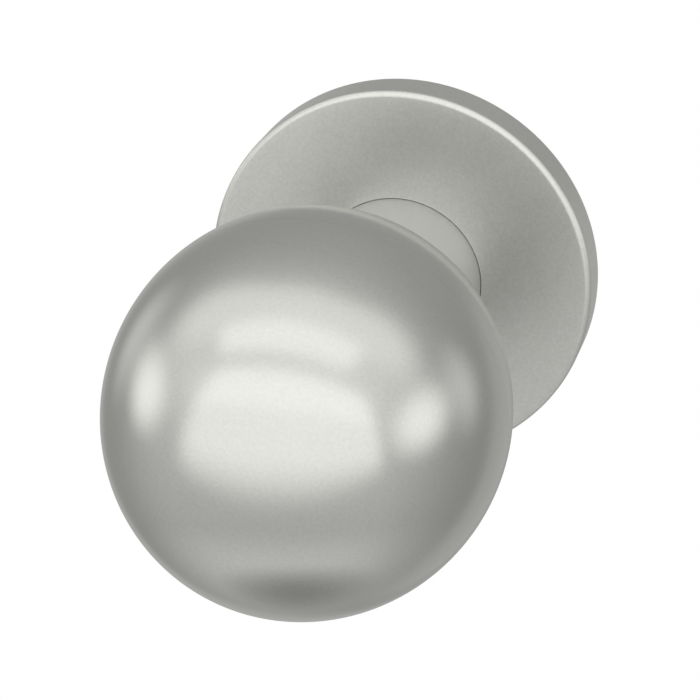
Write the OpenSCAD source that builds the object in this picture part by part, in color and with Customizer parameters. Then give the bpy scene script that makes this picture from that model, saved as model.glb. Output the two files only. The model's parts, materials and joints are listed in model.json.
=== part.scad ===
// Ball door knob on a thin round rose with hidden fixings, one side of a pair.
// Row frame: the door face is the plane y = 0, the knob stands out towards -Y, the spindle and
// screws run into the door towards +Y, and +Z is up. The origin is on the spindle's axis.
// Modules are drawn with their own Z as the distance out of the door, and turned at the end.

/* [Ball] */
// Ball diameter across the axis
ball_d = 51; // [44:0.5:60]
// Ball length along the axis
ball_len = 57; // [50:0.5:66]
// Distance of the ball's centre from the door
ball_out = 53.8; // [48:0.1:64]
// Radius of the ball's two ends
ball_end_r = 23.7; // [20:0.1:24]
// Wall of the pressed ball shells
ball_wall = 1.2; // [0.8:0.1:2]

/* [Neck] */
// Neck diameter
neck_d = 24; // [18:0.5:28]
// Wall of the neck sleeve
neck_wall = 1.5; // [1:0.1:2.5]
// Journal diameter where the core turns in the bush
journal_d = 16; // [14:0.5:18]
// Diameter of the core's seat for the rotor
seat_d = 17.6; // [16.5:0.1:19]
// Distance across the two flats of the rotor seat
seat_flats = 16.4; // [15:0.1:17.5]
// Distance of the grub screw from the door
grub_out = 14; // [11:0.5:20]
// Grub screw diameter
grub_d = 6; // [4:1:8]

/* [Rose] */
// Rose diameter
rose_d = 55; // [50:0.5:65]
// Rose thickness
rose_t = 6.4; // [6:0.1:10]
// Thickness of the pressed rose cover
rose_wall = 0.9; // [0.6:0.1:1.5]
// Radius of the rose's front edge
rose_edge_r = 0.85; // [0.5:0.05:2]
// Hole in the rose, a running fit round the neck
rose_hole_d = 24.04; // [24.02:0.02:24.2]

/* [Fixing] */
// Distance between the two fixing screws
screw_pitch = 38; // [34:0.5:40]
// Fixing screw diameter
screw_d = 4; // [3:0.5:5]
// Reach of the fixing screws into the door
screw_reach = 24; // [15:1:60]
// Width of the square spindle
spindle_w = 8; // [7:0.1:9]
// Reach of the spindle into the door
spindle_reach = 52; // [35:1:80]

/* [Spring] */
// Spring wire diameter
wire_d = 1.2; // [0.8:0.1:1.4]
// Mean diameter of the spring coil
coil_d = 22.8; // [22:0.1:24]
// Turn each way before the rotor meets its stops
turn_each_way = 60; // [40:1:65]

/* [Hidden] */

$fn = 96;
eps = 0.01;
touch = 0.05;
far = 100;

satin = [0.72, 0.72, 0.70];
steel = [0.60, 0.61, 0.63];
zinc = [0.66, 0.67, 0.68];
dark = [0.22, 0.22, 0.24];
nylon = [0.10, 0.10, 0.11];
foam = [0.15, 0.15, 0.16];

ball_r = ball_d / 2;
ball_end_off = ball_len / 2 - ball_end_r;
ball_side_r = (ball_r * ball_r + ball_end_off * ball_end_off - ball_end_r * ball_end_r)
    / (2 * (ball_r - ball_end_r));
ball_side_off = ball_side_r - ball_r;
join_slope = ball_end_off / ball_side_off;
neck_r = neck_d / 2;
seat_gap = 0.15;
seat_r = neck_r + seat_gap;
shell_seat = ball_out - ball_end_off - sqrt(ball_end_r * ball_end_r - seat_r * seat_r);
seam_ring_len = 5;
seam_ring_wall = 1;

journal_r = journal_d / 2;
seat_core_r = seat_d / 2;
stub_r = journal_r;
core_r = neck_r - neck_wall - touch;
core_end = -10.6;
stub_end = 39.5;
drill_r = 5;
drill_from = 26;
socket_end = 24;
socket_gap = 0.1;
spindle_in = 22;
spindle_chamfer = 0.8;
grub_r = grub_d / 2;
grub_sunk = 0.5;
grub_key = 3;
grub_key_depth = 2.5;
groove_r = 7.3;
groove_rear = -9;
groove_front = -8.15;

nut_flats = 22;
nut_t = 7.5;
washer_r = 11;
washer_t = 1.5;

floor_t = 0.8;
plate_t = 4.3;
plate_r = 26.2;
well_r = 14.6;
slot_r = 17.2;
boss_r = 11;
boss_len = 6;
bush_wall = 1.55;
run_gap = 0.05;
bush_flange_t = 0.83;
bush_flange_r = 10.9;
pocket_in = 17.9;
pocket_out = 23.4;
pocket_floor = 1.2;
pockets = [[16, 80], [100, 164], [196, 224], [246, 294], [316, 344]];
pad_in = 23.7;
pad_out = 25.4;
pad_t = 0.5;
pad_gap = 0.05;
ring_wire_d = 1;
ring_mean_r = 25.8;
ring_out = 2.75;
ring_gap_angle = 10;
ring_groove_w = 1.1;
ring_groove_r = 25.25;

rotor_t = 0.9;
rotor_r = 14.2;
rotor_out = floor_t + touch;
collar_r = 10.1;
tab_half = 7;
tab_r = 16.8;
stop_slack = 0.5;
leg_gap = 0.06;

spring_plate_t = 0.6;
spring_plate_out = plate_t + touch;
spring_plate_r = 23.8;
spring_plate_hole_r = 9.1;
access_r = 3.9;
small_screw_circle_r = 20.5;
small_screw_angles = [90, 235, 305];
small_screw_d = 2.5;
small_head_r = 2.1;
small_head_t = 0.4;
small_screw_end = 1.4;

shank_relief = 0.4;
head_r = 3.5;
head_t = 2.2;
head_key = 3;
head_key_depth = 1.4;
counterbore_r = 3.7;
counterbore_floor = 1.2;
split_washer_t = 0.7;
split_washer_r = 3.4;
split_w = 0.8;

flange_out = 5;
flange_t = 0.9;
guide_out = 5.02;
guide_t = 0.44;
guide_gap = 0.02;
guide_r = 14.6;
inner_edge_r = 0.15;
hole_edge_r = 0.03;
rim_chamfer = 0.3;

thrust_out = -6.9;
thrust_t = 0.6;
cone_out = -7.55;
cone_t = 0.35;
cone_rise = 0.2;
clip_t = 0.75;
clip_r = 9.6;
clip_gap_w = 3;
clip_ear_r = 1.7;
clip_ear_hole_r = 0.8;
clip_ear_angle = 16;

leg_turn = 270;
bend_r = 0.7;
wire_sides = 12;
coil_steps = 72;
bend_steps = 4;
coil_low = 2.42;
coil_high = 3.68;
leg_low = 0.95;
leg_high = 4.9;

// Turns a shape whose Z runs out of the door into the row frame.
module out_of_door() {
    rotate([90, 0, 0])
        children();
}

// A round ring or disc between two distances from the door.
module ring(outer, inner, from, to) {
    translate([0, 0, from])
        difference() {
            cylinder(r = outer, h = to - from);
            if (inner > 0)
                translate([0, 0, -1])
                    cylinder(r = inner, h = to - from + 2);
        }
}

// Half outline of the ball, sunk by a depth: a flat arc round the middle and a rounder arc at each end.
module ball_outline(depth) {
    intersection() {
        translate([-ball_side_off, 0])
            circle(r = ball_side_r - depth);
        polygon([
            [0, ball_end_off], [far, ball_end_off + far * join_slope],
            [far, -ball_end_off - far * join_slope], [0, -ball_end_off]
        ]);
    }
    for (side = [0, 1])
        mirror([0, side])
            intersection() {
                translate([0, ball_end_off])
                    circle(r = ball_end_r - depth);
                polygon([
                    [0, ball_end_off], [far, ball_end_off + far * join_slope],
                    [0, ball_end_off + far * join_slope]
                ]);
            }
}

module ball_shell_outline() {
    difference() {
        ball_outline(0);
        ball_outline(ball_wall);
    }
}

// Front half of the hollow ball.
module ball_front_shell() {
    color(satin)
        out_of_door()
            translate([0, 0, ball_out])
                rotate_extrude()
                    intersection() {
                        ball_shell_outline();
                        translate([0, eps])
                            square([far, far]);
                    }
}

// Rear half of the hollow ball, with a flat seat that rests on the end of the neck.
module ball_rear_shell() {
    low = shell_seat - ball_out;
    color(satin)
        out_of_door()
            translate([0, 0, ball_out])
                rotate_extrude()
                    difference() {
                        union() {
                            intersection() {
                                ball_shell_outline();
                                translate([0, low])
                                    square([far, -low - eps]);
                            }
                            intersection() {
                                ball_outline(0);
                                translate([0, low])
                                    square([seat_r, ball_wall]);
                            }
                        }
                        translate([0, low - 1])
                            square([stub_r + run_gap, ball_wall + 2]);
                    }
}

// Ring inside the ball that bridges the seam of the two shells.
module seam_ring() {
    outer = ball_r - ball_wall - 3 * touch;
    color(steel)
        out_of_door()
            ring(outer, outer - seam_ring_wall, ball_out - seam_ring_len / 2, ball_out + seam_ring_len / 2);
}

// Visible cylinder of the neck, with a hole for the grub screw underneath.
module neck_sleeve() {
    from = flange_out + flange_t + touch;
    color(satin)
        out_of_door()
            difference() {
                ring(neck_r, neck_r - neck_wall, from, shell_seat - touch);
                translate([0, 0, grub_out])
                    rotate([90, 0, 0])
                        cylinder(r = grub_r + 2 * run_gap, h = far);
            }
}

// Turned core: journal, rotor seat with two flats, flange, body and threaded stub, with the square socket.
module knob_core() {
    color(steel)
        out_of_door()
            difference() {
                union() {
                    translate([0, 0, core_end])
                        cylinder(r = journal_r, h = flange_out - core_end);
                    intersection() {
                        translate([0, 0, floor_t + touch / 2])
                            cylinder(r = seat_core_r, h = flange_out - floor_t);
                        translate([-seat_flats / 2, -far / 2, floor_t + touch / 2])
                            cube([seat_flats, far, flange_out - floor_t]);
                    }
                    translate([0, 0, flange_out])
                        cylinder(r = neck_r, h = flange_t);
                    translate([0, 0, flange_out])
                        cylinder(r = core_r, h = shell_seat - touch - flange_out);
                    translate([0, 0, flange_out])
                        cylinder(r = stub_r, h = stub_end - flange_out);
                }
                socket_w = spindle_w + socket_gap;
                translate([-socket_w / 2, -socket_w / 2, core_end - 1])
                    cube([socket_w, socket_w, socket_end - core_end + 1]);
                translate([0, 0, drill_from])
                    cylinder(r = drill_r, h = far);
                translate([0, 0, grub_out])
                    rotate([90, 0, 0])
                        cylinder(r = grub_r + run_gap / 2, h = far);
                translate([0, 0, groove_rear])
                    difference() {
                        cylinder(r = journal_r + 1, h = groove_front - groove_rear);
                        translate([0, 0, -1])
                            cylinder(r = groove_r, h = groove_front - groove_rear + 2);
                    }
            }
}

module clamp_washer() {
    from = shell_seat + ball_wall + touch;
    color(steel)
        out_of_door()
            ring(washer_r, stub_r + 2 * run_gap, from, from + washer_t);
}

module clamp_nut() {
    from = shell_seat + ball_wall + washer_t + 2 * touch;
    color(steel)
        out_of_door()
            translate([0, 0, from])
                difference() {
                    cylinder(r = nut_flats / sqrt(3), h = nut_t, $fn = 6);
                    translate([0, 0, -1])
                        cylinder(r = stub_r + run_gap, h = nut_t + 2);
                }
}

// Socket screw in the underside of the neck, bearing on the spindle.
module grub_screw() {
    tip = spindle_w / 2 + run_gap;
    length = neck_r - grub_sunk - tip;
    color(dark)
        out_of_door()
            translate([0, -tip, grub_out])
                rotate([90, 0, 0])
                    difference() {
                        cylinder(r = grub_r, h = length);
                        translate([0, 0, length - grub_key_depth])
                            cylinder(r = grub_key / sqrt(3), h = grub_key_depth + 1, $fn = 6);
                    }
}

module spindle() {
    half = spindle_w / 2;
    point = half - spindle_chamfer;
    color(steel)
        out_of_door()
            intersection() {
                translate([-half, -half, -spindle_reach])
                    cube([spindle_w, spindle_w, spindle_reach + spindle_in]);
                rotate_extrude()
                    polygon([
                        [0, -spindle_reach], [point, -spindle_reach],
                        [2 * half, -spindle_reach + half + spindle_chamfer],
                        [2 * half, spindle_in - half - spindle_chamfer],
                        [point, spindle_in], [0, spindle_in]
                    ]);
            }
}

// Drive disc: it takes the flats of the core, carries the moving leg of the spring and meets the stops with its tab.
module rotor() {
    color(zinc)
        out_of_door()
            difference() {
                union() {
                    ring(rotor_r, 0, rotor_out, rotor_out + rotor_t);
                    ring(collar_r, 0, rotor_out, plate_t - touch);
                    translate([0, 0, rotor_out])
                        rotate([0, 0, 90 - tab_half])
                            rotate_extrude(angle = 2 * tab_half)
                                translate([rotor_r - 1, 0])
                                    square([tab_r - rotor_r + 1, rotor_t]);
                }
                intersection() {
                    translate([0, 0, -1])
                        cylinder(r = seat_core_r + run_gap, h = 2 * plate_t);
                    translate([-seat_flats / 2 - run_gap, -far / 2, -1])
                        cube([seat_flats + 2 * run_gap, far, 2 * plate_t]);
                }
                rotate([0, 0, leg_turn])
                    translate([coil_d / 2, 0, -1])
                        cylinder(r = wire_d / 2 + leg_gap, h = rotor_out + rotor_t + 2);
            }
}

module thrust_washer() {
    color(steel)
        out_of_door()
            ring(boss_r, journal_r + 2 * run_gap, thrust_out - thrust_t, thrust_out);
}

// Conical spring washer that takes up the end play.
module cone_washer() {
    inner = journal_r + 2 * run_gap;
    color(steel)
        out_of_door()
            rotate_extrude()
                polygon([
                    [inner, cone_out - cone_t - cone_rise], [boss_r - 1, cone_out - cone_t],
                    [boss_r - 1, cone_out], [inner, cone_out - cone_rise]
                ]);
}

// Retaining clip in the groove of the journal, open at the bottom with two eared ends.
module circlip() {
    color(dark)
        out_of_door()
            translate([0, 0, groove_rear + touch])
                difference() {
                    union() {
                        cylinder(r = clip_r, h = clip_t);
                        for (side = [-1, 1])
                            rotate([0, 0, leg_turn + side * clip_ear_angle])
                                translate([clip_r, 0, 0])
                                    cylinder(r = clip_ear_r, h = clip_t);
                    }
                    translate([0, 0, -1])
                        cylinder(r = groove_r + run_gap, h = clip_t + 2);
                    translate([-clip_gap_w / 2, -far, -1])
                        cube([clip_gap_w, far, clip_t + 2]);
                    for (side = [-1, 1])
                        rotate([0, 0, leg_turn + side * clip_ear_angle])
                            translate([clip_r, 0, -1])
                                cylinder(r = clip_ear_hole_r, h = clip_t + 2);
                }
}

// Outline of a square with its upper corner on the right rounded.
module rounded_corner(w, h, r) {
    difference() {
        square([w, h]);
        translate([w - r, h - r])
            square([r + 1, r + 1]);
    }
    intersection() {
        translate([w - r, h - r])
            circle(r = r);
        translate([w - r, h - r])
            square([r + 1, r + 1]);
    }
}

// Pressed cap that is the visible rose.
module rose_cover() {
    r = rose_d / 2;
    hole = rose_hole_d / 2;
    color(satin)
        out_of_door()
            rotate_extrude()
                difference() {
                    rounded_corner(r, rose_t, rose_edge_r);
                    translate([-1, -1])
                        rounded_corner(r - rose_wall + 1, rose_t - rose_wall + 1, inner_edge_r);
                    translate([-1, -1])
                        square([hole + 1, rose_t + 2]);
                    difference() {
                        translate([hole - 1, rose_t - hole_edge_r])
                            square([hole_edge_r + 1, hole_edge_r + 1]);
                        translate([hole + hole_edge_r, rose_t - hole_edge_r])
                            circle(r = hole_edge_r);
                    }
                    polygon([
                        [r - rose_wall - 1, -1], [r - rose_wall + rim_chamfer + 1, -1],
                        [r - rose_wall, rim_chamfer], [r - rose_wall - 1, rim_chamfer]
                    ]);
                }
}

// Plastic ring behind the hole of the rose, round the neck.
module rose_guide_ring() {
    color(nylon)
        out_of_door()
            ring(guide_r, neck_r + guide_gap, guide_out, guide_out + guide_t);
}

module at_fixings() {
    for (side = [-1, 1])
        translate([side * screw_pitch / 2, 0, 0])
            children();
}

module at_small_screws() {
    for (a = small_screw_angles)
        rotate([0, 0, a])
            translate([small_screw_circle_r, 0, 0])
                children();
}

// Arc cut between two radii and two angles, from one height up.
module arc_block(inner, outer, first, last, from, height) {
    translate([0, 0, from])
        rotate([0, 0, first])
            rotate_extrude(angle = last - first)
                translate([inner, 0])
                    square([outer - inner, height]);
}

// Cast plate under the rose: spring well with a stop slot, rear boss for the bush and two sunk screw holes.
module base_plate() {
    stop_half = turn_each_way + tab_half + stop_slack;
    color(zinc)
        out_of_door()
            difference() {
                union() {
                    cylinder(r = plate_r, h = plate_t);
                    translate([0, 0, -boss_len])
                        cylinder(r = boss_r, h = boss_len + eps);
                }
                translate([0, 0, floor_t])
                    cylinder(r = well_r, h = plate_t);
                translate([0, 0, -boss_len - 1])
                    cylinder(r = journal_r + bush_wall + 0.07, h = plate_t + boss_len + 1);
                arc_block(well_r - 1, slot_r, 90 - stop_half, 90 + stop_half, floor_t, plate_t);
                for (p = pockets)
                    arc_block(pocket_in, pocket_out, p[0], p[1], pocket_floor, plate_t);
                at_fixings() {
                    translate([0, 0, counterbore_floor])
                        cylinder(r = counterbore_r, h = plate_t);
                    translate([0, 0, -1])
                        cylinder(r = screw_d / 2 + 0.25, h = plate_t);
                }
                at_small_screws()
                    translate([0, 0, small_screw_end - touch])
                        cylinder(r = small_screw_d / 2 + run_gap / 2, h = plate_t);
                ring(pad_out, pad_in, -1, pad_t);
                ring(plate_r + 1, ring_groove_r, ring_out - ring_groove_w / 2, ring_out + ring_groove_w / 2);
            }
}

module back_pad() {
    color(foam)
        out_of_door()
            ring(pad_out - pad_gap, pad_in + pad_gap, pad_gap, pad_t - pad_gap);
}

// Plastic bearing for the journal, with a flange behind the boss.
module bearing_bush() {
    outer = journal_r + bush_wall;
    rear = -boss_len - 2 * run_gap;
    color(nylon)
        out_of_door()
            difference() {
                union() {
                    ring(outer, 0, -boss_len - touch, floor_t - touch);
                    ring(bush_flange_r, 0, -boss_len - bush_flange_t, -boss_len - touch / 2);
                }
                translate([0, 0, rear - 2])
                    cylinder(r = journal_r + run_gap, h = far);
            }
}

// Sheet plate over the spring well, with a hole for the spring's fixed leg.
module spring_plate() {
    color(steel)
        out_of_door()
            difference() {
                ring(spring_plate_r, spring_plate_hole_r, spring_plate_out, spring_plate_out + spring_plate_t);
                at_fixings()
                    cylinder(r = access_r, h = 2 * plate_t);
                at_small_screws()
                    cylinder(r = small_screw_d / 2 + 2 * run_gap, h = 2 * plate_t);
                rotate([0, 0, leg_turn])
                    translate([coil_d / 2, 0, 0])
                        cylinder(r = wire_d / 2 + 3 * leg_gap, h = 2 * plate_t);
            }
}

module spring_plate_screws() {
    from = spring_plate_out + spring_plate_t + touch / 2;
    color(dark)
        out_of_door()
            at_small_screws()
                difference() {
                    union() {
                        translate([0, 0, from])
                            cylinder(r = small_head_r, h = small_head_t);
                        translate([0, 0, small_screw_end])
                            cylinder(r = small_screw_d / 2, h = from - small_screw_end + eps);
                    }
                    translate([-far / 2, -small_head_t / 2, from + small_head_t / 2])
                        cube([far, small_head_t, small_head_t]);
                }
}

// Two socket-head screws that run into the door, to the sleeves of the other side.
module fixing_screws() {
    from = counterbore_floor + split_washer_t + 2 * touch;
    color(steel)
        out_of_door()
            at_fixings()
                difference() {
                    union() {
                        translate([0, 0, from])
                            cylinder(r = head_r, h = head_t);
                        translate([0, 0, -eps])
                            cylinder(r = screw_d / 2 - shank_relief, h = from + 2 * eps);
                        translate([0, 0, -screw_reach + 1])
                            cylinder(r = screw_d / 2, h = screw_reach - 1);
                        translate([0, 0, -screw_reach])
                            cylinder(r1 = screw_d / 2 - 0.6, r2 = screw_d / 2, h = 1);
                    }
                    translate([0, 0, from + head_t - head_key_depth])
                        cylinder(r = head_key / sqrt(3), h = head_t, $fn = 6);
                }
}

module screw_washers() {
    color(dark)
        out_of_door()
            at_fixings()
                difference() {
                    ring(
                        split_washer_r, screw_d / 2 + 2 * run_gap,
                        counterbore_floor + touch, counterbore_floor + touch + split_washer_t
                    );
                    translate([0, -split_w / 2, 0])
                        cube([split_washer_r + 1, split_w, plate_t]);
                }
}

// Wire ring round the plate that grips the rose cover.
module snap_ring() {
    color(dark)
        out_of_door()
            translate([0, 0, ring_out])
                rotate([0, 0, leg_turn + ring_gap_angle / 2])
                    rotate_extrude(angle = 360 - ring_gap_angle)
                        translate([ring_mean_r, 0])
                            circle(r = ring_wire_d / 2);
}

// Centre line of the spring unrolled to [distance round the coil, distance from the door].
function bend_low(i) = let (a = 180 - 90 * i / bend_steps)
    [bend_r + bend_r * cos(a), coil_low - bend_r + bend_r * sin(a)];
function bend_high(i) = let (a = -90 + 90 * i / bend_steps)
    [PI * coil_d - bend_r + bend_r * cos(a), coil_high + bend_r + bend_r * sin(a)];
function coil_at(i) = let (t = i / coil_steps)
    [bend_r + t * (PI * coil_d - 2 * bend_r), coil_low + t * (coil_high - coil_low)];
spring_path = concat(
    [[0, leg_low]],
    [for (i = [0 : bend_steps - 1]) bend_low(i)],
    [for (i = [0 : coil_steps]) coil_at(i)],
    [for (i = [1 : bend_steps]) bend_high(i)],
    [[PI * coil_d, leg_high]]
);
spring_last = len(spring_path) - 1;
function unit2(v) = v / norm(v);
function heading(i) = unit2(spring_path[min(i + 1, spring_last)] - spring_path[max(i - 1, 0)]);
// A point of the wire's skin: the wire's section is square to its heading at each step.
function skin(i, k) = let (
        p = spring_path[i],
        h = heading(i),
        turn = leg_turn + p[0] / (PI * coil_d) * 360,
        a = 360 * k / wire_sides,
        out = wire_d / 2 * cos(a),
        side = wire_d / 2 * sin(a),
        r = coil_d / 2 + out
    )
    [
        r * cos(turn) + side * h[1] * sin(turn),
        r * sin(turn) - side * h[1] * cos(turn),
        p[1] + side * h[0]
    ];

// Single-turn torsion spring with a straight leg at each end.
module return_spring() {
    n = wire_sides;
    points = [for (i = [0 : spring_last], k = [0 : n - 1]) skin(i, k)];
    sides = [
        for (i = [0 : spring_last - 1], k = [0 : n - 1])
            [i * n + k, (i + 1) * n + k, (i + 1) * n + (k + 1) % n, i * n + (k + 1) % n]
    ];
    first = [for (k = [0 : n - 1]) k];
    last = [for (k = [0 : n - 1]) spring_last * n + n - 1 - k];
    color(dark)
        out_of_door()
            polyhedron(points = points, faces = concat([first], sides, [last]), convexity = 6);
}

ball_front_shell();
ball_rear_shell();
seam_ring();
neck_sleeve();
knob_core();
clamp_washer();
clamp_nut();
grub_screw();
spindle();
rotor();
thrust_washer();
cone_washer();
circlip();
rose_cover();
rose_guide_ring();
base_plate();
back_pad();
bearing_bush();
spring_plate();
spring_plate_screws();
fixing_screws();
screw_washers();
snap_ring();
return_spring();
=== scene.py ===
"""Looks of a satin metal ball door knob on a thin round rose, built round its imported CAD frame.

Everything is in metres in the row frame: the door face is the plane y = 0, the knob stands out
towards -Y and +Z is up. Distances called "out" are measured from the door, so out = -y.
"""

import json
import math

import bmesh
import bpy
from mathutils import Matrix, Vector

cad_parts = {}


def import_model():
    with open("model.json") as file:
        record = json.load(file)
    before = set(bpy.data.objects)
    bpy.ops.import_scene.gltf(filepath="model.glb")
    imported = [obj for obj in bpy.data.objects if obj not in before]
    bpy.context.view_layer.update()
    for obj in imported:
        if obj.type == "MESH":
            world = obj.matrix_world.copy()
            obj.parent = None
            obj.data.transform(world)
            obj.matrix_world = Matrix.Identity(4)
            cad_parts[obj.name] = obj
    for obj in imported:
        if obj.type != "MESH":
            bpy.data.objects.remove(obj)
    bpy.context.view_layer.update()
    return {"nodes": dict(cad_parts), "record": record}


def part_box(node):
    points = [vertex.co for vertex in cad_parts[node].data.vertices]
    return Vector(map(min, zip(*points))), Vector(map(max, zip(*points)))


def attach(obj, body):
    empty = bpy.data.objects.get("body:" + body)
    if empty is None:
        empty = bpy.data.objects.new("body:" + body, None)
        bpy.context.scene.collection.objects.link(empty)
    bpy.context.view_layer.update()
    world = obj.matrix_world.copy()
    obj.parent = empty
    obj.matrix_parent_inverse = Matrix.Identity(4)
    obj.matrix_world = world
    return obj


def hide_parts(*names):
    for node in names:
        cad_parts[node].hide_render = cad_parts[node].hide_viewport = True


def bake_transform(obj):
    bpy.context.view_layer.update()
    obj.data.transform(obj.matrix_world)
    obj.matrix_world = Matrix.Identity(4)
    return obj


MM = 0.001

# Shape, repeated from the CAD source.
BALL_END_R = 23.7 * MM
BALL_WALL = 1.2 * MM
NECK_WALL = 1.5 * MM
STUB_R = 8.05 * MM
ROSE_WALL = 0.9 * MM
ROSE_EDGE_R = 0.85 * MM
ROSE_HOLE_R = 12.02 * MM
ROSE_HOLE_EDGE_R = 0.03 * MM
ROSE_INNER_EDGE_R = 0.15 * MM
ROSE_RIM_CHAMFER = 0.3 * MM
ROSE_REAR_EDGE_R = 0.2 * MM
GRUB_OUT = 14.0 * MM
GRUB_HOLE_R = 3.1 * MM
GRUB_HOLE_DEPTH = 3.0 * MM
GRUB_HOLE_CHAMFER = 0.35 * MM
NECK_EDGE = 0.15 * MM
SEAM = 0.01 * MM

WIRE_R = 0.6 * MM
COIL_R = 11.4 * MM
COIL_LOW = 2.42 * MM
COIL_HIGH = 3.68 * MM
LEG_LOW = 0.95 * MM
LEG_HIGH = 4.9 * MM
BEND_R = 0.7 * MM
LEG_TURN = math.radians(270)

SCREW_X = 19.0 * MM
SCREW_R = 2.0 * MM
SCREW_PITCH = 0.7 * MM
SCREW_THREAD_DEPTH = 0.38 * MM
SCREW_SHANK_R = 1.6 * MM
SCREW_HEAD_R = 3.5 * MM
SCREW_HEAD_LOW = 2.0 * MM
SCREW_HEAD_HIGH = 4.2 * MM
SCREW_KEY_R = 3.0 / math.sqrt(3) * MM
SCREW_KEY_DEPTH = 1.4 * MM
SCREW_END = -24.0 * MM
SCREW_KNURLS = 36
SCREW_KNURL_DEPTH = 0.07 * MM
SCREW_HEAD_EDGE = 0.25 * MM
SCREW_SHOULDER = 0.05 * MM
SCREW_POINT_LENGTH = 1.2 * MM
SCREW_POINT_DEPTH = 0.5 * MM

# Fineness of the meshes: steps round each piece, and along the stretches of its outline.
BALL_STEPS = 320
NECK_STEPS = 192
ROSE_STEPS = 384
HOLE_STEPS = 64
SCREW_STEPS = 40
THREAD_STEPS = 8
KNURL_STEPS = 4
WIRE_STEPS = 24
COIL_STEPS = 160
BEND_STEPS = 8
OUTSIDE_ARC_STEPS = 72
INSIDE_ARC_STEPS = 40
SHARP_ANGLE = 35.0
ON_AXIS = 1e-7

# Satin metal: scale of each pattern, its share of the tone, and the strength of its relief.
MARKS_ACROSS = 5200.0
MARKS_AROUND = 60.0
BROAD_SCALE = 55.0
SPECK_SCALE = 2600.0
MARKS_SHARE = 0.1
BROAD_SHARE = 0.25
SPECK_SHARE = 0.65
TONE_RANGE = (0.38, 0.62)
NOISE_RANGE = (0.3, 0.7)
MARKS_RELIEF = (0.04, 0.02 * MM)
SPECK_RELIEF = (0.05, 0.1 * MM)
# Light tone, dark tone, roughness and how far the roughness varies.
SATIN_LOOKS = {
    "satin_steel": ((0.61, 0.61, 0.594), (0.57, 0.57, 0.556), 0.20, 0.015),
    # The rose's copy of the satin steel has lighter tones than the ball's, painted light that brightens the
    # rose; its higher roughness is the rose's own finish.
    "satin_steel_rose_painted_lighter": ((0.66, 0.66, 0.643), (0.585, 0.585, 0.57), 0.34, 0.03),
}
# The same, then the strength and the scale of the grain.
METAL_LOOKS = {
    "plain_steel": ((0.52, 0.52, 0.52), (0.44, 0.44, 0.45), 0.34, 0.06, 0.25, 2500.0),
    "zinc_plated": ((0.64, 0.65, 0.66), (0.56, 0.57, 0.60), 0.27, 0.05, 0.15, 3000.0),
    "zinc_casting": ((0.46, 0.46, 0.47), (0.38, 0.38, 0.39), 0.50, 0.08, 0.55, 1800.0),
    "spring_steel": ((0.26, 0.26, 0.28), (0.19, 0.19, 0.21), 0.32, 0.06, 0.20, 2800.0),
    "black_steel": ((0.060, 0.060, 0.064), (0.035, 0.035, 0.038), 0.42, 0.07, 0.30, 2600.0),
}
SOLID_LOOKS = {
    "black_nylon": ((0.030, 0.030, 0.032), (0.018, 0.018, 0.020), 0.48, 0.07, 0.30, 4000.0),
    "foam": ((0.045, 0.045, 0.048), (0.020, 0.020, 0.022), 0.85, 0.08, 0.80, 3500.0),
}

# Camera, at the photograph's angle.
CAMERA_AIM = (-0.8 * MM, -30.0 * MM, -1.4 * MM)
CAMERA_AZIMUTH = 14.7
CAMERA_ELEVATION = 22.75
CAMERA_DISTANCE = 341.0 * MM
CAMERA_LENS = 131.5
CAMERA_SENSOR = 36.0
CAMERA_CLIP = (0.01, 20.0)

# Studio. The edges of a softbox are shares of STUDIO_REACH, and its strengths are those of its two
# halves: the lower and the upper one in front, the front and the rear one overhead.
STUDIO_REACH = 1.2
LIGHT_COLOUR = (0.99, 1.0, 0.965)
FRONT_BOX = {"left": -1.75, "right": 2.5, "low": -0.55, "top": 1.9, "fade": 0.7, "strength": (1.3, 1.45)}
OVERHEAD_BOX = {"left": -0.9, "right": 0.9, "low": -0.55, "top": 0.35, "fade": 0.25, "strength": (1.4, 1.1)}
BOX_MIDDLE = (0.45, 0.55)
# Round lamps, the same on the left and the right, each pair a little nearer than the one before.
# Name, azimuth, elevation, half width and half height in degrees, even core, strength.
LAMP_REACH = 1.6
LAMP_STEP = 0.1
LAMP_PAIRS = (
    ("wall", 96, 50, 20, 33, 0.2, 1.1),
    ("rear_glow", 156, -28, 22, 40, 0.5, 0.5),
    ("far_lamp", 120, 5, 16, 22, 0.1, 0.8),
    ("lamp", 90, 8, 25, 20, 0.15, 1.4),
)
# Surroundings: height from straight down (-1) to straight up (1), and the grey in front of the knob
# and behind it, which meet over a stretch from front to back.
WORLD_STOPS = (
    (-1.0, 0.3, 0.35),
    (-0.9, 0.8, 0.4),
    (-0.65, 0.6, 0.35),
    (0.1, 0.7, 0.4),
    (0.5, 1.0, 0.45),
    (1.0, 1.0, 0.55),
)
WORLD_MEETING = (-0.5, 0.7)
DOME_RADIUS = 4.0
FLOOR_DROP = 1.05
FLOOR_RADIUS = 3.5
FLOOR_STEPS = 96


# ---------------------------------------------------------------- materials


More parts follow.
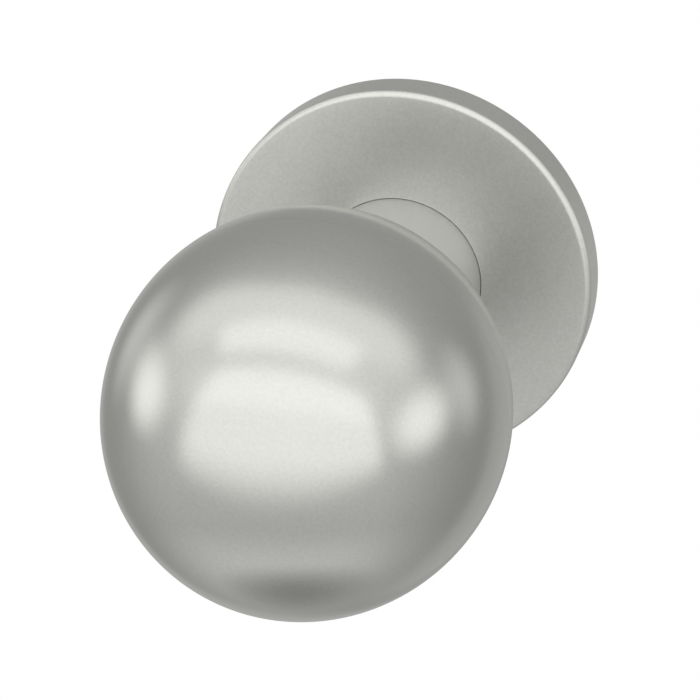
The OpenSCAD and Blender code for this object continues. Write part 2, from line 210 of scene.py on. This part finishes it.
class Nodes:
    """A small helper that adds nodes to a material and wires them up."""

    def __init__(self, tree):
        self.tree = tree
        self.tree.nodes.clear()

    def add(self, kind, **values):
        node = self.tree.nodes.new(kind)
        for name, value in values.items():
            setattr(node, name, value)
        return node

    def link(self, source, target):
        self.tree.links.new(source, target)

    def put(self, socket, value):
        if isinstance(value, bpy.types.NodeSocket):
            self.link(value, socket)
        else:
            socket.default_value = value

    def math(self, operation, a, b=0.0):
        node = self.add("ShaderNodeMath", operation=operation)
        self.put(node.inputs[0], a)
        self.put(node.inputs[1], b)
        return node.outputs[0]

    def spread(self, value, low, high, to_low, to_high, smooth=False):
        node = self.add("ShaderNodeMapRange")
        node.interpolation_type = "SMOOTHSTEP" if smooth else "LINEAR"
        self.put(node.inputs["Value"], value)
        self.put(node.inputs["From Min"], low)
        self.put(node.inputs["From Max"], high)
        self.put(node.inputs["To Min"], to_low)
        self.put(node.inputs["To Max"], to_high)
        return node.outputs["Result"]

    def noise(self, vector, scale, detail, roughness):
        node = self.add("ShaderNodeTexNoise", noise_dimensions="3D")
        self.put(node.inputs["Vector"], vector)
        self.put(node.inputs["Scale"], scale)
        self.put(node.inputs["Detail"], detail)
        self.put(node.inputs["Roughness"], roughness)
        return node.outputs["Fac"]

    def mix_colour(self, factor, a, b):
        node = self.add("ShaderNodeMix", data_type="RGBA")
        self.put(node.inputs["Factor"], factor)
        self.put(node.inputs["A"], a)
        self.put(node.inputs["B"], b)
        return node.outputs["Result"]

    def bump(self, height, strength, distance, normal=None):
        node = self.add("ShaderNodeBump")
        self.put(node.inputs["Height"], height)
        self.put(node.inputs["Strength"], strength)
        self.put(node.inputs["Distance"], distance)
        if normal is not None:
            self.link(normal, node.inputs["Normal"])
        return node.outputs["Normal"]

    def place(self):
        return self.add("ShaderNodeTexCoord").outputs["Object"]

    def turned(self, along, around):
        """A vector that changes fast across lathe marks about the Y axis and slowly along them."""
        split = self.add("ShaderNodeSeparateXYZ")
        self.link(self.place(), split.inputs[0])
        x, y, z = split.outputs
        radius = self.math("SQRT", self.math("ADD", self.math("MULTIPLY", x, x), self.math("MULTIPLY", z, z)))
        join = self.add("ShaderNodeCombineXYZ")
        self.put(join.inputs[0], self.math("MULTIPLY", radius, along))
        self.put(join.inputs[1], self.math("MULTIPLY", y, along))
        self.put(join.inputs[2], self.math("MULTIPLY", self.math("ADD", x, z), around))
        return join.outputs[0]

    def finish(self, colour, metallic, roughness, normal):
        surface = self.add("ShaderNodeBsdfPrincipled")
        self.put(surface.inputs["Base Color"], colour)
        surface.inputs["Metallic"].default_value = metallic
        self.put(surface.inputs["Roughness"], roughness)
        self.link(normal, surface.inputs["Normal"])
        out = self.add("ShaderNodeOutputMaterial")
        self.link(surface.outputs[0], out.inputs["Surface"])


def new_material(name):
    material = bpy.data.materials.new(name)
    material.use_nodes = True
    return material, Nodes(material.node_tree)


def satin_metal(name, colour, shade, roughness, rough_change):
    """Fine satin finish: faint lathe marks, a fine even grain and slight changes of tone and polish."""
    material, n = new_material(name)
    marks = n.noise(n.turned(MARKS_ACROSS, MARKS_AROUND), scale=1.0, detail=3.0, roughness=0.6)
    broad = n.noise(n.place(), BROAD_SCALE, detail=3.0, roughness=0.5)
    speck = n.noise(n.place(), SPECK_SCALE, detail=3.0, roughness=0.7)
    marked = n.math("ADD", n.math("MULTIPLY", marks, MARKS_SHARE), n.math("MULTIPLY", broad, BROAD_SHARE))
    tone = n.math("ADD", marked, n.math("MULTIPLY", speck, SPECK_SHARE))
    base = n.mix_colour(n.spread(tone, *TONE_RANGE, 0.0, 1.0), (*shade, 1.0), (*colour, 1.0))
    polish = n.math("ADD", n.math("MULTIPLY", broad, 0.6), n.math("MULTIPLY", speck, 0.4))
    rough = n.spread(polish, *NOISE_RANGE, roughness - rough_change, roughness + rough_change)
    marked_normal = n.bump(marks, *MARKS_RELIEF)
    n.finish(base, 1.0, rough, n.bump(speck, *SPECK_RELIEF, marked_normal))
    return material


def mottled(name, look, metallic, broad_noise, fine_noise, depth):
    """Surface with a mottled tone and a grain. Each noise is its scale, detail and roughness."""
    colour, shade, roughness, rough_change, grain = look
    material, n = new_material(name)
    broad = n.noise(n.place(), *broad_noise)
    fine = n.noise(n.place(), *fine_noise)
    base = n.mix_colour(n.spread(broad, *NOISE_RANGE, 0.0, 1.0), (*shade, 1.0), (*colour, 1.0))
    rough = n.spread(fine, *NOISE_RANGE, roughness - rough_change, roughness + rough_change)
    n.finish(base, metallic, rough, n.bump(fine, grain, depth))
    return material


def plain_metal(name, *look):
    """Machined, plated or cast metal."""
    return mottled(name, look[:-1], 1.0, (120.0, 4.0, 0.6), (look[-1], 4.0, 0.6), 0.05 * MM)


def plain_solid(name, *look):
    """Moulded plastic or foam."""
    return mottled(name, look[:-1], 0.0, (90.0, 3.0, 0.5), (look[-1], 3.0, 0.7), 0.1 * MM)


def make_materials():
    materials = {}
    for make, looks in ((satin_metal, SATIN_LOOKS), (plain_metal, METAL_LOOKS), (plain_solid, SOLID_LOOKS)):
        for name, look in looks.items():
            materials[name] = make(name, *look)
    return materials


def paint(obj, material):
    obj.data.materials.clear()
    obj.data.materials.append(material)


# ------------------------------------------------------------------ meshes


def arc(centre_r, centre_out, radius, start, stop, steps):
    """Points (radius, out) of an arc between two angles in degrees; angle 0 points away from the axis."""
    points = []
    for i in range(steps + 1):
        a = math.radians(start + (stop - start) * i / steps)
        points.append((centre_r + radius * math.cos(a), centre_out + radius * math.sin(a)))
    return points


def keep_sharp(bm, angle):
    """Smooth faces with the edges sharper than this angle left hard."""
    for face in bm.faces:
        face.smooth = True
    for edge in bm.edges:
        if len(edge.link_faces) == 2:
            edge.smooth = edge.calc_face_angle(0.0) < math.radians(angle)


def place_mesh(name, bm):
    """Puts the mesh into the scene as an object."""
    mesh = bpy.data.meshes.new(name)
    bm.to_mesh(mesh)
    bm.free()
    obj = bpy.data.objects.new(name, mesh)
    bpy.context.scene.collection.objects.link(obj)
    return obj


def add_mesh(name, bm, sharp_angle=SHARP_ANGLE):
    bmesh.ops.recalc_face_normals(bm, faces=bm.faces)
    keep_sharp(bm, sharp_angle)
    return place_mesh(name, bm)


def ring(bm, steps, out, radius_at, x=0.0):
    """Vertices round an axis at x, this far from the door; radius_at gives the radius at an angle."""
    vertices = []
    for k in range(steps):
        a = 2 * math.pi * k / steps
        r = radius_at(a)
        vertices.append(bm.verts.new((x + r * math.cos(a), -out, r * math.sin(a))))
    return vertices


def join_rings(bm, low, high):
    """Faces between two rings of vertices, which may have different counts. A ring of one is a pole."""
    if len(low) == len(high) == 1:
        return
    if 1 in (len(low), len(high)) or len(low) == len(high):
        count = max(len(low), len(high))
        for k in range(count):
            j = (k + 1) % count
            if len(low) == 1:
                bm.faces.new((low[0], high[k], high[j]))
            elif len(high) == 1:
                bm.faces.new((low[k], low[j], high[0]))
            else:
                bm.faces.new((low[k], low[j], high[j], high[k]))
        return
    edges = []
    for vertices in (low, high):
        for k in range(len(vertices)):
            pair = (vertices[k], vertices[(k + 1) % len(vertices)])
            edges.append(bm.edges.get(pair) or bm.edges.new(pair))
    bmesh.ops.bridge_loops(bm, edges=edges)


def join_tube(bm, rings):
    """Joins the rings in their order and closes the two ends."""
    for low, high in zip(rings, rings[1:]):
        join_rings(bm, low, high)
    bm.faces.new(rings[0])
    bm.faces.new(rings[-1])


def lathe(name, profile, steps):
    """Turns a closed profile of (radius, out) points about the knob's axis. Points on the axis are poles."""
    bm = bmesh.new()
    rings = []
    for r, out in profile:
        if r < ON_AXIS:
            rings.append([bm.verts.new((0.0, -out, 0.0))])
        else:
            rings.append(ring(bm, steps, out, lambda a: r))
    for low, high in zip(rings, rings[1:] + rings[:1]):
        join_rings(bm, low, high)
    return add_mesh(name, bm)


def hole_cutter(lowest, radius, depth, out, chamfer):
    """Upright plug for a round hole that opens downwards at the height lowest, with a chamfered mouth."""
    bm = bmesh.new()
    rings = []
    for r, z in (
        (radius, lowest + depth),
        (radius, lowest + chamfer),
        (radius + chamfer, lowest),
        (radius + 4 * chamfer, lowest - 3 * chamfer),
    ):
        vertices = []
        for k in range(HOLE_STEPS):
            a = 2 * math.pi * k / HOLE_STEPS
            vertices.append(bm.verts.new((r * math.cos(a), -out + r * math.sin(a), z)))
        rings.append(vertices)
    join_tube(bm, rings)
    return add_mesh("cutter", bm)


def cut(obj, cutter):
    """Takes the cutter's shape out of obj for good and removes the cutter."""
    modifier = obj.modifiers.new("hole", "BOOLEAN")
    modifier.operation = "DIFFERENCE"
    modifier.solver = "EXACT"
    modifier.object = cutter
    bpy.context.view_layer.update()
    evaluated = obj.evaluated_get(bpy.context.evaluated_depsgraph_get())
    mesh = bpy.data.meshes.new_from_object(evaluated)
    obj.modifiers.clear()
    obj.data = mesh
    bpy.data.objects.remove(cutter)
    bm = bmesh.new()
    bm.from_mesh(mesh)
    keep_sharp(bm, 30.0)
    bm.to_mesh(mesh)
    bm.free()
    return obj


class Ball:
    """Outline of the ball: a flat arc round the middle and a rounder arc at each end, in (radius, out).

    The end arcs are centred on the axis, at the distance off from the middle. The flat arc is centred
    side_off beyond the axis. They touch at the angle join, where they have the same direction.
    """

    def __init__(self):
        low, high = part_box("ball_front_shell")
        self.radius = high.x
        self.front = -low.y
        self.centre = -high.y
        half = self.front - self.centre
        self.off = half - BALL_END_R
        r, off, end_r = self.radius, self.off, BALL_END_R
        self.side_r = (r * r + off * off - end_r * end_r) / (2 * (r - end_r))
        self.side_off = self.side_r - r
        self.join = math.degrees(math.atan2(self.off, self.side_off))

    def front_half(self, sunk, from_out, steps):
        """Points from a plane near the middle to the front pole, sunk below the outside."""
        start = math.degrees(math.asin((from_out - self.centre) / (self.side_r - sunk)))
        side = arc(-self.side_off, self.centre, self.side_r - sunk, start, self.join, steps)
        end = arc(0.0, self.centre + self.off, BALL_END_R - sunk, self.join, 90.0, steps)
        return side + end[1:-1] + [(0.0, self.centre + self.off + BALL_END_R - sunk)]

    def rear_half(self, sunk, from_out, to_out, steps):
        """Points from a plane near the middle back to a plane near the neck."""
        start = math.degrees(math.asin((self.centre - from_out) / (self.side_r - sunk)))
        stop = math.degrees(math.asin((self.centre - self.off - to_out) / (BALL_END_R - sunk)))
        side = arc(-self.side_off, self.centre, self.side_r - sunk, -start, -self.join, steps)
        end = arc(0.0, self.centre - self.off, BALL_END_R - sunk, -self.join, -stop, steps)
        return side + end[1:]


def make_ball_front(ball):
    seam = ball.centre + SEAM
    outside = ball.front_half(0.0, seam, OUTSIDE_ARC_STEPS)
    inside = ball.front_half(BALL_WALL, seam, INSIDE_ARC_STEPS)
    return lathe("ball_front", outside + inside[::-1], BALL_STEPS)


def make_ball_rear(ball):
    seam = ball.centre - SEAM
    seat = -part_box("ball_rear_shell")[1].y
    outside = ball.rear_half(0.0, seam, seat, OUTSIDE_ARC_STEPS)
    inside = ball.rear_half(BALL_WALL, seam, seat + BALL_WALL, INSIDE_ARC_STEPS)
    profile = outside + [(STUB_R, seat), (STUB_R, seat + BALL_WALL)] + inside[::-1]
    return lathe("ball_rear", profile, BALL_STEPS)


def make_neck():
    low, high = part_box("neck_sleeve")
    outer, inner = high.x, high.x - NECK_WALL
    rear, front = -high.y, -low.y
    profile = [(inner, rear), (outer - NECK_EDGE, rear)]
    profile += arc(outer - NECK_EDGE, rear + NECK_EDGE, NECK_EDGE, -90, 0, 4)
    profile += [(outer, rear + (front - rear) * i / 12) for i in range(1, 12)]
    profile += arc(outer - NECK_EDGE, front - NECK_EDGE, NECK_EDGE, 0, 90, 4)
    profile += [(inner, front)]
    cutter = hole_cutter(-outer, GRUB_HOLE_R, GRUB_HOLE_DEPTH, GRUB_OUT, GRUB_HOLE_CHAMFER)
    return cut(lathe("neck", profile, NECK_STEPS), cutter)


def make_rose():
    low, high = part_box("rose_cover")
    radius, front = high.x, -low.y
    inner, under = radius - ROSE_WALL, front - ROSE_WALL
    rear = ROSE_REAR_EDGE_R
    profile = [(inner + ROSE_RIM_CHAMFER, 0.0), (radius - rear, 0.0)]
    profile += arc(radius - rear, rear, rear, -90, 0, 5)
    profile += [(radius, rear + (front - ROSE_EDGE_R - rear) * i / 6) for i in range(1, 6)]
    profile += arc(radius - ROSE_EDGE_R, front - ROSE_EDGE_R, ROSE_EDGE_R, 0, 90, 20)
    flat_from, flat_to = radius - ROSE_EDGE_R, ROSE_HOLE_R + ROSE_HOLE_EDGE_R
    profile += [(flat_from + (flat_to - flat_from) * i / 14, front) for i in range(1, 14)]
    profile += arc(flat_to, front - ROSE_HOLE_EDGE_R, ROSE_HOLE_EDGE_R, 90, 180, 8)
    profile += [(ROSE_HOLE_R, under)]
    profile += arc(inner - ROSE_INNER_EDGE_R, under - ROSE_INNER_EDGE_R, ROSE_INNER_EDGE_R, 90, 0, 4)
    profile += [(inner, ROSE_RIM_CHAMFER)]
    return lathe("rose", profile, ROSE_STEPS)


def spring_path():
    """Points (distance round the coil, out) along the middle of the wire, and the length of its one turn."""
    length = 2 * math.pi * COIL_R
    flat = [(0.0, LEG_LOW + (COIL_LOW - BEND_R - LEG_LOW) * i / 4) for i in range(4)]
    for i in range(BEND_STEPS + 1):
        a = math.radians(180 - 90 * i / BEND_STEPS)
        flat.append((BEND_R + BEND_R * math.cos(a), COIL_LOW - BEND_R + BEND_R * math.sin(a)))
    for i in range(1, COIL_STEPS):
        t = i / COIL_STEPS
        flat.append((BEND_R + t * (length - 2 * BEND_R), COIL_LOW + t * (COIL_HIGH - COIL_LOW)))
    for i in range(BEND_STEPS + 1):
        a = math.radians(-90 + 90 * i / BEND_STEPS)
        flat.append((length - BEND_R + BEND_R * math.cos(a), COIL_HIGH + BEND_R + BEND_R * math.sin(a)))
    top = COIL_HIGH + BEND_R
    flat += [(length, top + (LEG_HIGH - top) * i / 2) for i in range(1, 3)]
    return flat, length


def make_spring():
    """Round wire along the spring's path, each ring of vertices square to the path."""
    flat, length = spring_path()
    bm = bmesh.new()
    rings = []
    for i, (s, out) in enumerate(flat):
        before, after = flat[max(i - 1, 0)], flat[min(i + 1, len(flat) - 1)]
        run, rise = after[0] - before[0], after[1] - before[1]
        size = math.hypot(run, rise)
        run, rise = run / size, rise / size
        turn = LEG_TURN + s / length * 2 * math.pi
        vertices = []
        for k in range(WIRE_STEPS):
            a = 2 * math.pi * k / WIRE_STEPS
            r = COIL_R + WIRE_R * math.cos(a)
            side = WIRE_R * math.sin(a)
            x = r * math.cos(turn) + side * rise * math.sin(turn)
            up = r * math.sin(turn) - side * rise * math.cos(turn)
            vertices.append(bm.verts.new((x, -(out + side * run), up)))
        rings.append(vertices)
    join_tube(bm, rings)
    return add_mesh("spring", bm, sharp_angle=50.0)


def screw_radius(out, turn):
    """Radius of the screw's shank: plain inside the rose, threaded in the door and tapered at the point."""
    if out > 0:
        return SCREW_SHANK_R
    phase = (out / SCREW_PITCH - turn / (2 * math.pi)) % 1.0
    groove = 1.0 - abs(2.0 * phase - 1.0)
    run_out = min(1.0, -out / SCREW_PITCH)
    taper = min(1.0, (out - SCREW_END) / SCREW_POINT_LENGTH)
    return SCREW_R - SCREW_THREAD_DEPTH * groove * run_out - SCREW_POINT_DEPTH * (1.0 - taper)


def head_radius(radius, knurl, turn):
    """Radius of the screw's head; knurl is 1 where it is knurled and 0 where it is plain."""
    return radius - SCREW_KNURL_DEPTH * knurl * (0.5 - 0.5 * math.cos(turn * SCREW_KNURLS))


def make_screw(name, x):
    """Fixing screw from its point in the door to the six-sided socket in its head."""
    bm = bmesh.new()
    fine = int(-SCREW_END / SCREW_PITCH * THREAD_STEPS)
    outs = [SCREW_END * (1 - i / fine) for i in range(fine + 1)]
    outs += [SCREW_SHOULDER, SCREW_HEAD_LOW]
    rings = [ring(bm, SCREW_STEPS, out, lambda a: screw_radius(out, a), x) for out in outs]
    edge = SCREW_HEAD_EDGE
    for r, out, knurl in (
        (SCREW_HEAD_R - edge, SCREW_HEAD_LOW, 0.0),
        (SCREW_HEAD_R, SCREW_HEAD_LOW + edge, 1.0),
        (SCREW_HEAD_R, SCREW_HEAD_HIGH - edge, 1.0),
        (SCREW_HEAD_R - edge, SCREW_HEAD_HIGH, 0.0),
    ):
        rings.append(ring(bm, SCREW_KNURLS * KNURL_STEPS, out, lambda a: head_radius(r, knurl, a), x))
    for out in (SCREW_HEAD_HIGH, SCREW_HEAD_HIGH - SCREW_KEY_DEPTH):
        rings.append(ring(bm, 6, out, lambda a: SCREW_KEY_R, x))
    join_tube(bm, rings)
    return add_mesh(name, bm, sharp_angle=40.0)


# ------------------------------------------------------------------ studio


def direction(azimuth, elevation):
    """Unit vector towards an azimuth and elevation in degrees. Azimuth 0 is -Y, where the knob points."""
    a, e = math.radians(azimuth), math.radians(elevation)
    return Vector((math.sin(a) * math.cos(e), -math.cos(a) * math.cos(e), math.sin(e)))


def stage_only(obj, camera, light):
    """Lets the camera see obj, or lets it show only as light on the object, and never lets it cast shadow."""
    obj.visible_camera = camera
    obj.visible_diffuse = light
    obj.visible_glossy = light
    obj.visible_transmission = light
    obj.visible_volume_scatter = light
    obj.visible_shadow = False


def glow(name, shape, low, high, middle):
    """Light whose cover fades as shape(nodes, x, y) says, where x and y run from 0 to 1 across the panel.

    Its strength goes from low to high over the stretch of y that middle gives.
    """
    material, n = new_material(name)
    split = n.add("ShaderNodeSeparateXYZ")
    n.link(n.add("ShaderNodeTexCoord").outputs["Generated"], split.inputs[0])
    x, y = split.outputs[0], split.outputs[1]
    light = n.add("ShaderNodeEmission")
    light.inputs["Color"].default_value = (*LIGHT_COLOUR, 1.0)
    n.put(light.inputs["Strength"], n.spread(y, middle[0], middle[1], low, high, True))
    mix = n.add("ShaderNodeMixShader")
    n.put(mix.inputs[0], shape(n, x, y))
    n.link(n.add("ShaderNodeBsdfTransparent").outputs[0], mix.inputs[1])
    n.link(light.outputs[0], mix.inputs[2])
    n.link(mix.outputs[0], n.add("ShaderNodeOutputMaterial").inputs["Surface"])
    return material


def panel(name, corner, across, up, material):
    """Flat light panel with a corner and two edges."""
    bm = bmesh.new()
    corners = ((0, 0, 0), (across.length, 0, 0), (across.length, up.length, 0), (0, up.length, 0))
    bm.faces.new([bm.verts.new(v) for v in corners])
    obj = place_mesh(name, bm)
    x, y = across.normalized(), up.normalized()
    obj.matrix_world = Matrix.Translation(corner) @ Matrix((x, y, x.cross(y))).transposed().to_4x4()
    obj.data.materials.append(material)
    stage_only(obj, camera=False, light=True)


def fade(n, place, width):
    """Rises from 0 to 1 over the width at one end of the panel and falls again at the other."""
    rise = n.spread(place, 0.0, width, 0.0, 1.0, True)
    fall = n.spread(place, 1.0 - width, 1.0, 1.0, 0.0, True)
    return n.math("MULTIPLY", rise, fall)


def soft_edges(side, end):
    """Fade widths at the sides and at the two ends, as shares of the panel."""

    def shape(n, x, y):
        return n.math("MULTIPLY", fade(n, x, side), fade(n, y, end))

    return shape


def softbox(name, box, middle, across, up):
    """Flat light with soft edges, placed round the middle along the directions across and up."""
    width, height = box["right"] - box["left"], box["top"] - box["low"]
    material = glow(name, soft_edges(box["fade"] / width, box["fade"] / height), *box["strength"], BOX_MIDDLE)
    corner = middle + (across * box["left"] + up * box["low"]) * STUDIO_REACH
    panel(name, corner, across * width * STUDIO_REACH, up * height * STUDIO_REACH, material)


def round_spot(core):
    """A round light that is even out to the core share of its radius and fades beyond."""

    def shape(n, x, y):
        dx, dy = n.math("SUBTRACT", x, 0.5), n.math("SUBTRACT", y, 0.5)
        far = n.math("SQRT", n.math("ADD", n.math("MULTIPLY", dx, dx), n.math("MULTIPLY", dy, dy)))
        return n.spread(far, 0.5 * core, 0.5, 1.0, 0.0, True)

    return shape


def spot(name, centre, reach, azimuth, elevation, half_width, half_height, core, strength):
    """Round light seen from the ball in this direction, with these half angles in degrees."""
    towards = direction(azimuth, elevation)
    across = Vector((towards.y, -towards.x, 0.0)).normalized()
    up = across.cross(towards).normalized()
    if up.z < 0:
        up = -up
    w = reach * math.tan(math.radians(half_width))
    h = reach * math.tan(math.radians(half_height))
    middle = centre + towards * reach
    material = glow(name, round_spot(core), strength, strength, (0.0, 1.0))
    panel(name, middle - across * w - up * h, across * 2 * w, up * 2 * h, material)


def make_lights(centre):
    """The softboxes in front and overhead, and the mirrored pairs of round lamps."""
    right, inward, up = Vector((1.0, 0.0, 0.0)), Vector((0.0, 1.0, 0.0)), Vector((0.0, 0.0, 1.0))
    softbox("front_panel", FRONT_BOX, centre - inward * STUDIO_REACH, right, up)
    softbox("overhead_panel", OVERHEAD_BOX, centre + up * STUDIO_REACH, right, inward)
    for order, (name, azimuth, *values) in enumerate(LAMP_PAIRS):
        for side, sign in (("left", -1), ("right", 1)):
            spot(f"{side}_{name}", centre, LAMP_REACH - order * LAMP_STEP, sign * azimuth, *values)


def make_world():
    """Soft grey surroundings, which change with height and differ between the front and the back."""
    world = bpy.data.worlds.new("studio")
    bpy.context.scene.world = world
    world.use_nodes = True
    n = Nodes(world.node_tree)
    split = n.add("ShaderNodeSeparateXYZ")
    n.link(n.add("ShaderNodeTexCoord").outputs["Generated"], split.inputs[0])
    height = n.spread(split.outputs[2], -1.0, 1.0, 0.0, 1.0)
    heights, front, rear = zip(*WORLD_STOPS)
    ramps = []
    for values in (front, rear):
        ramp = n.add("ShaderNodeValToRGB")
        n.link(height, ramp.inputs[0])
        elements = ramp.color_ramp.elements
        for place in heights[1:-1]:
            elements.new((place + 1) / 2)
        for element, value in zip(elements, values):
            element.color = (*(value * c for c in LIGHT_COLOUR), 1.0)
        ramps.append(ramp.outputs[0])
    colour = n.mix_colour(n.spread(split.outputs[1], *WORLD_MEETING, 0.0, 1.0, True), ramps[0], ramps[1])
    back = n.add("ShaderNodeBackground")
    n.link(colour, back.inputs["Color"])
    n.link(back.outputs[0], n.add("ShaderNodeOutputWorld").inputs["Surface"])


def make_backdrop(centre):
    """Plain pale floor and a white surround, which only the camera sees."""
    material, n = new_material("pale_backdrop")
    light = n.add("ShaderNodeEmission")
    light.inputs["Color"].default_value = (1.0, 1.0, 1.0, 1.0)
    light.inputs["Strength"].default_value = 1.0
    n.link(light.outputs[0], n.add("ShaderNodeOutputMaterial").inputs["Surface"])
    surround = bmesh.new()
    bmesh.ops.create_icosphere(surround, subdivisions=4, radius=DOME_RADIUS)
    floor = bmesh.new()
    bmesh.ops.create_circle(floor, cap_ends=True, segments=FLOOR_STEPS, radius=FLOOR_RADIUS)
    for name, bm, drop in (("surround", surround, 0.0), ("floor", floor, FLOOR_DROP)):
        obj = place_mesh(name, bm)
        obj.location = centre - Vector((0.0, 0.0, drop))
        obj.data.materials.append(material)
        stage_only(obj, camera=True, light=False)


def make_camera():
    data = bpy.data.cameras.new("camera")
    data.sensor_width = CAMERA_SENSOR
    data.lens = CAMERA_LENS
    data.clip_start, data.clip_end = CAMERA_CLIP
    camera = bpy.data.objects.new("camera", data)
    bpy.context.scene.collection.objects.link(camera)
    back = direction(CAMERA_AZIMUTH, CAMERA_ELEVATION)
    camera.location = Vector(CAMERA_AIM) + back * CAMERA_DISTANCE
    camera.rotation_mode = "QUATERNION"
    camera.rotation_quaternion = (-back).to_track_quat("-Z", "Y")
    bpy.context.scene.camera = camera


# ------------------------------------------------------------------- scene


def main():
    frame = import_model()
    materials = make_materials()
    slots = {part["node"]: part["material_slot"] for part in frame["record"]["subparts"]}
    for node, obj in frame["nodes"].items():
        paint(obj, materials[slots[node]])

    ball = Ball()
    for obj, body, node, look in (
        (make_ball_front(ball), "knob", "ball_front_shell", "satin_steel"),
        (make_ball_rear(ball), "knob", "ball_rear_shell", "satin_steel"),
        (make_neck(), "knob", "neck_sleeve", "satin_steel"),
        (make_rose(), "rose", "rose_cover", "satin_steel_rose_painted_lighter"),
        (make_screw("fixing_screw_left", -SCREW_X), "base", "fixing_screws", "zinc_plated"),
        (make_screw("fixing_screw_right", SCREW_X), "base", "fixing_screws", "zinc_plated"),
    ):
        paint(obj, materials[look])
        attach(obj, body)
        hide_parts(node)

    spring = make_spring()
    paint(spring, materials["spring_steel"])
    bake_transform(spring)
    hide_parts("return_spring")

    centre = Vector((0.0, -ball.centre, 0.0))
    make_world()
    make_lights(centre)
    make_backdrop(centre)
    make_camera()
    bpy.context.scene.view_settings.view_transform = "Standard"
    bpy.context.scene.view_settings.look = "None"


main()
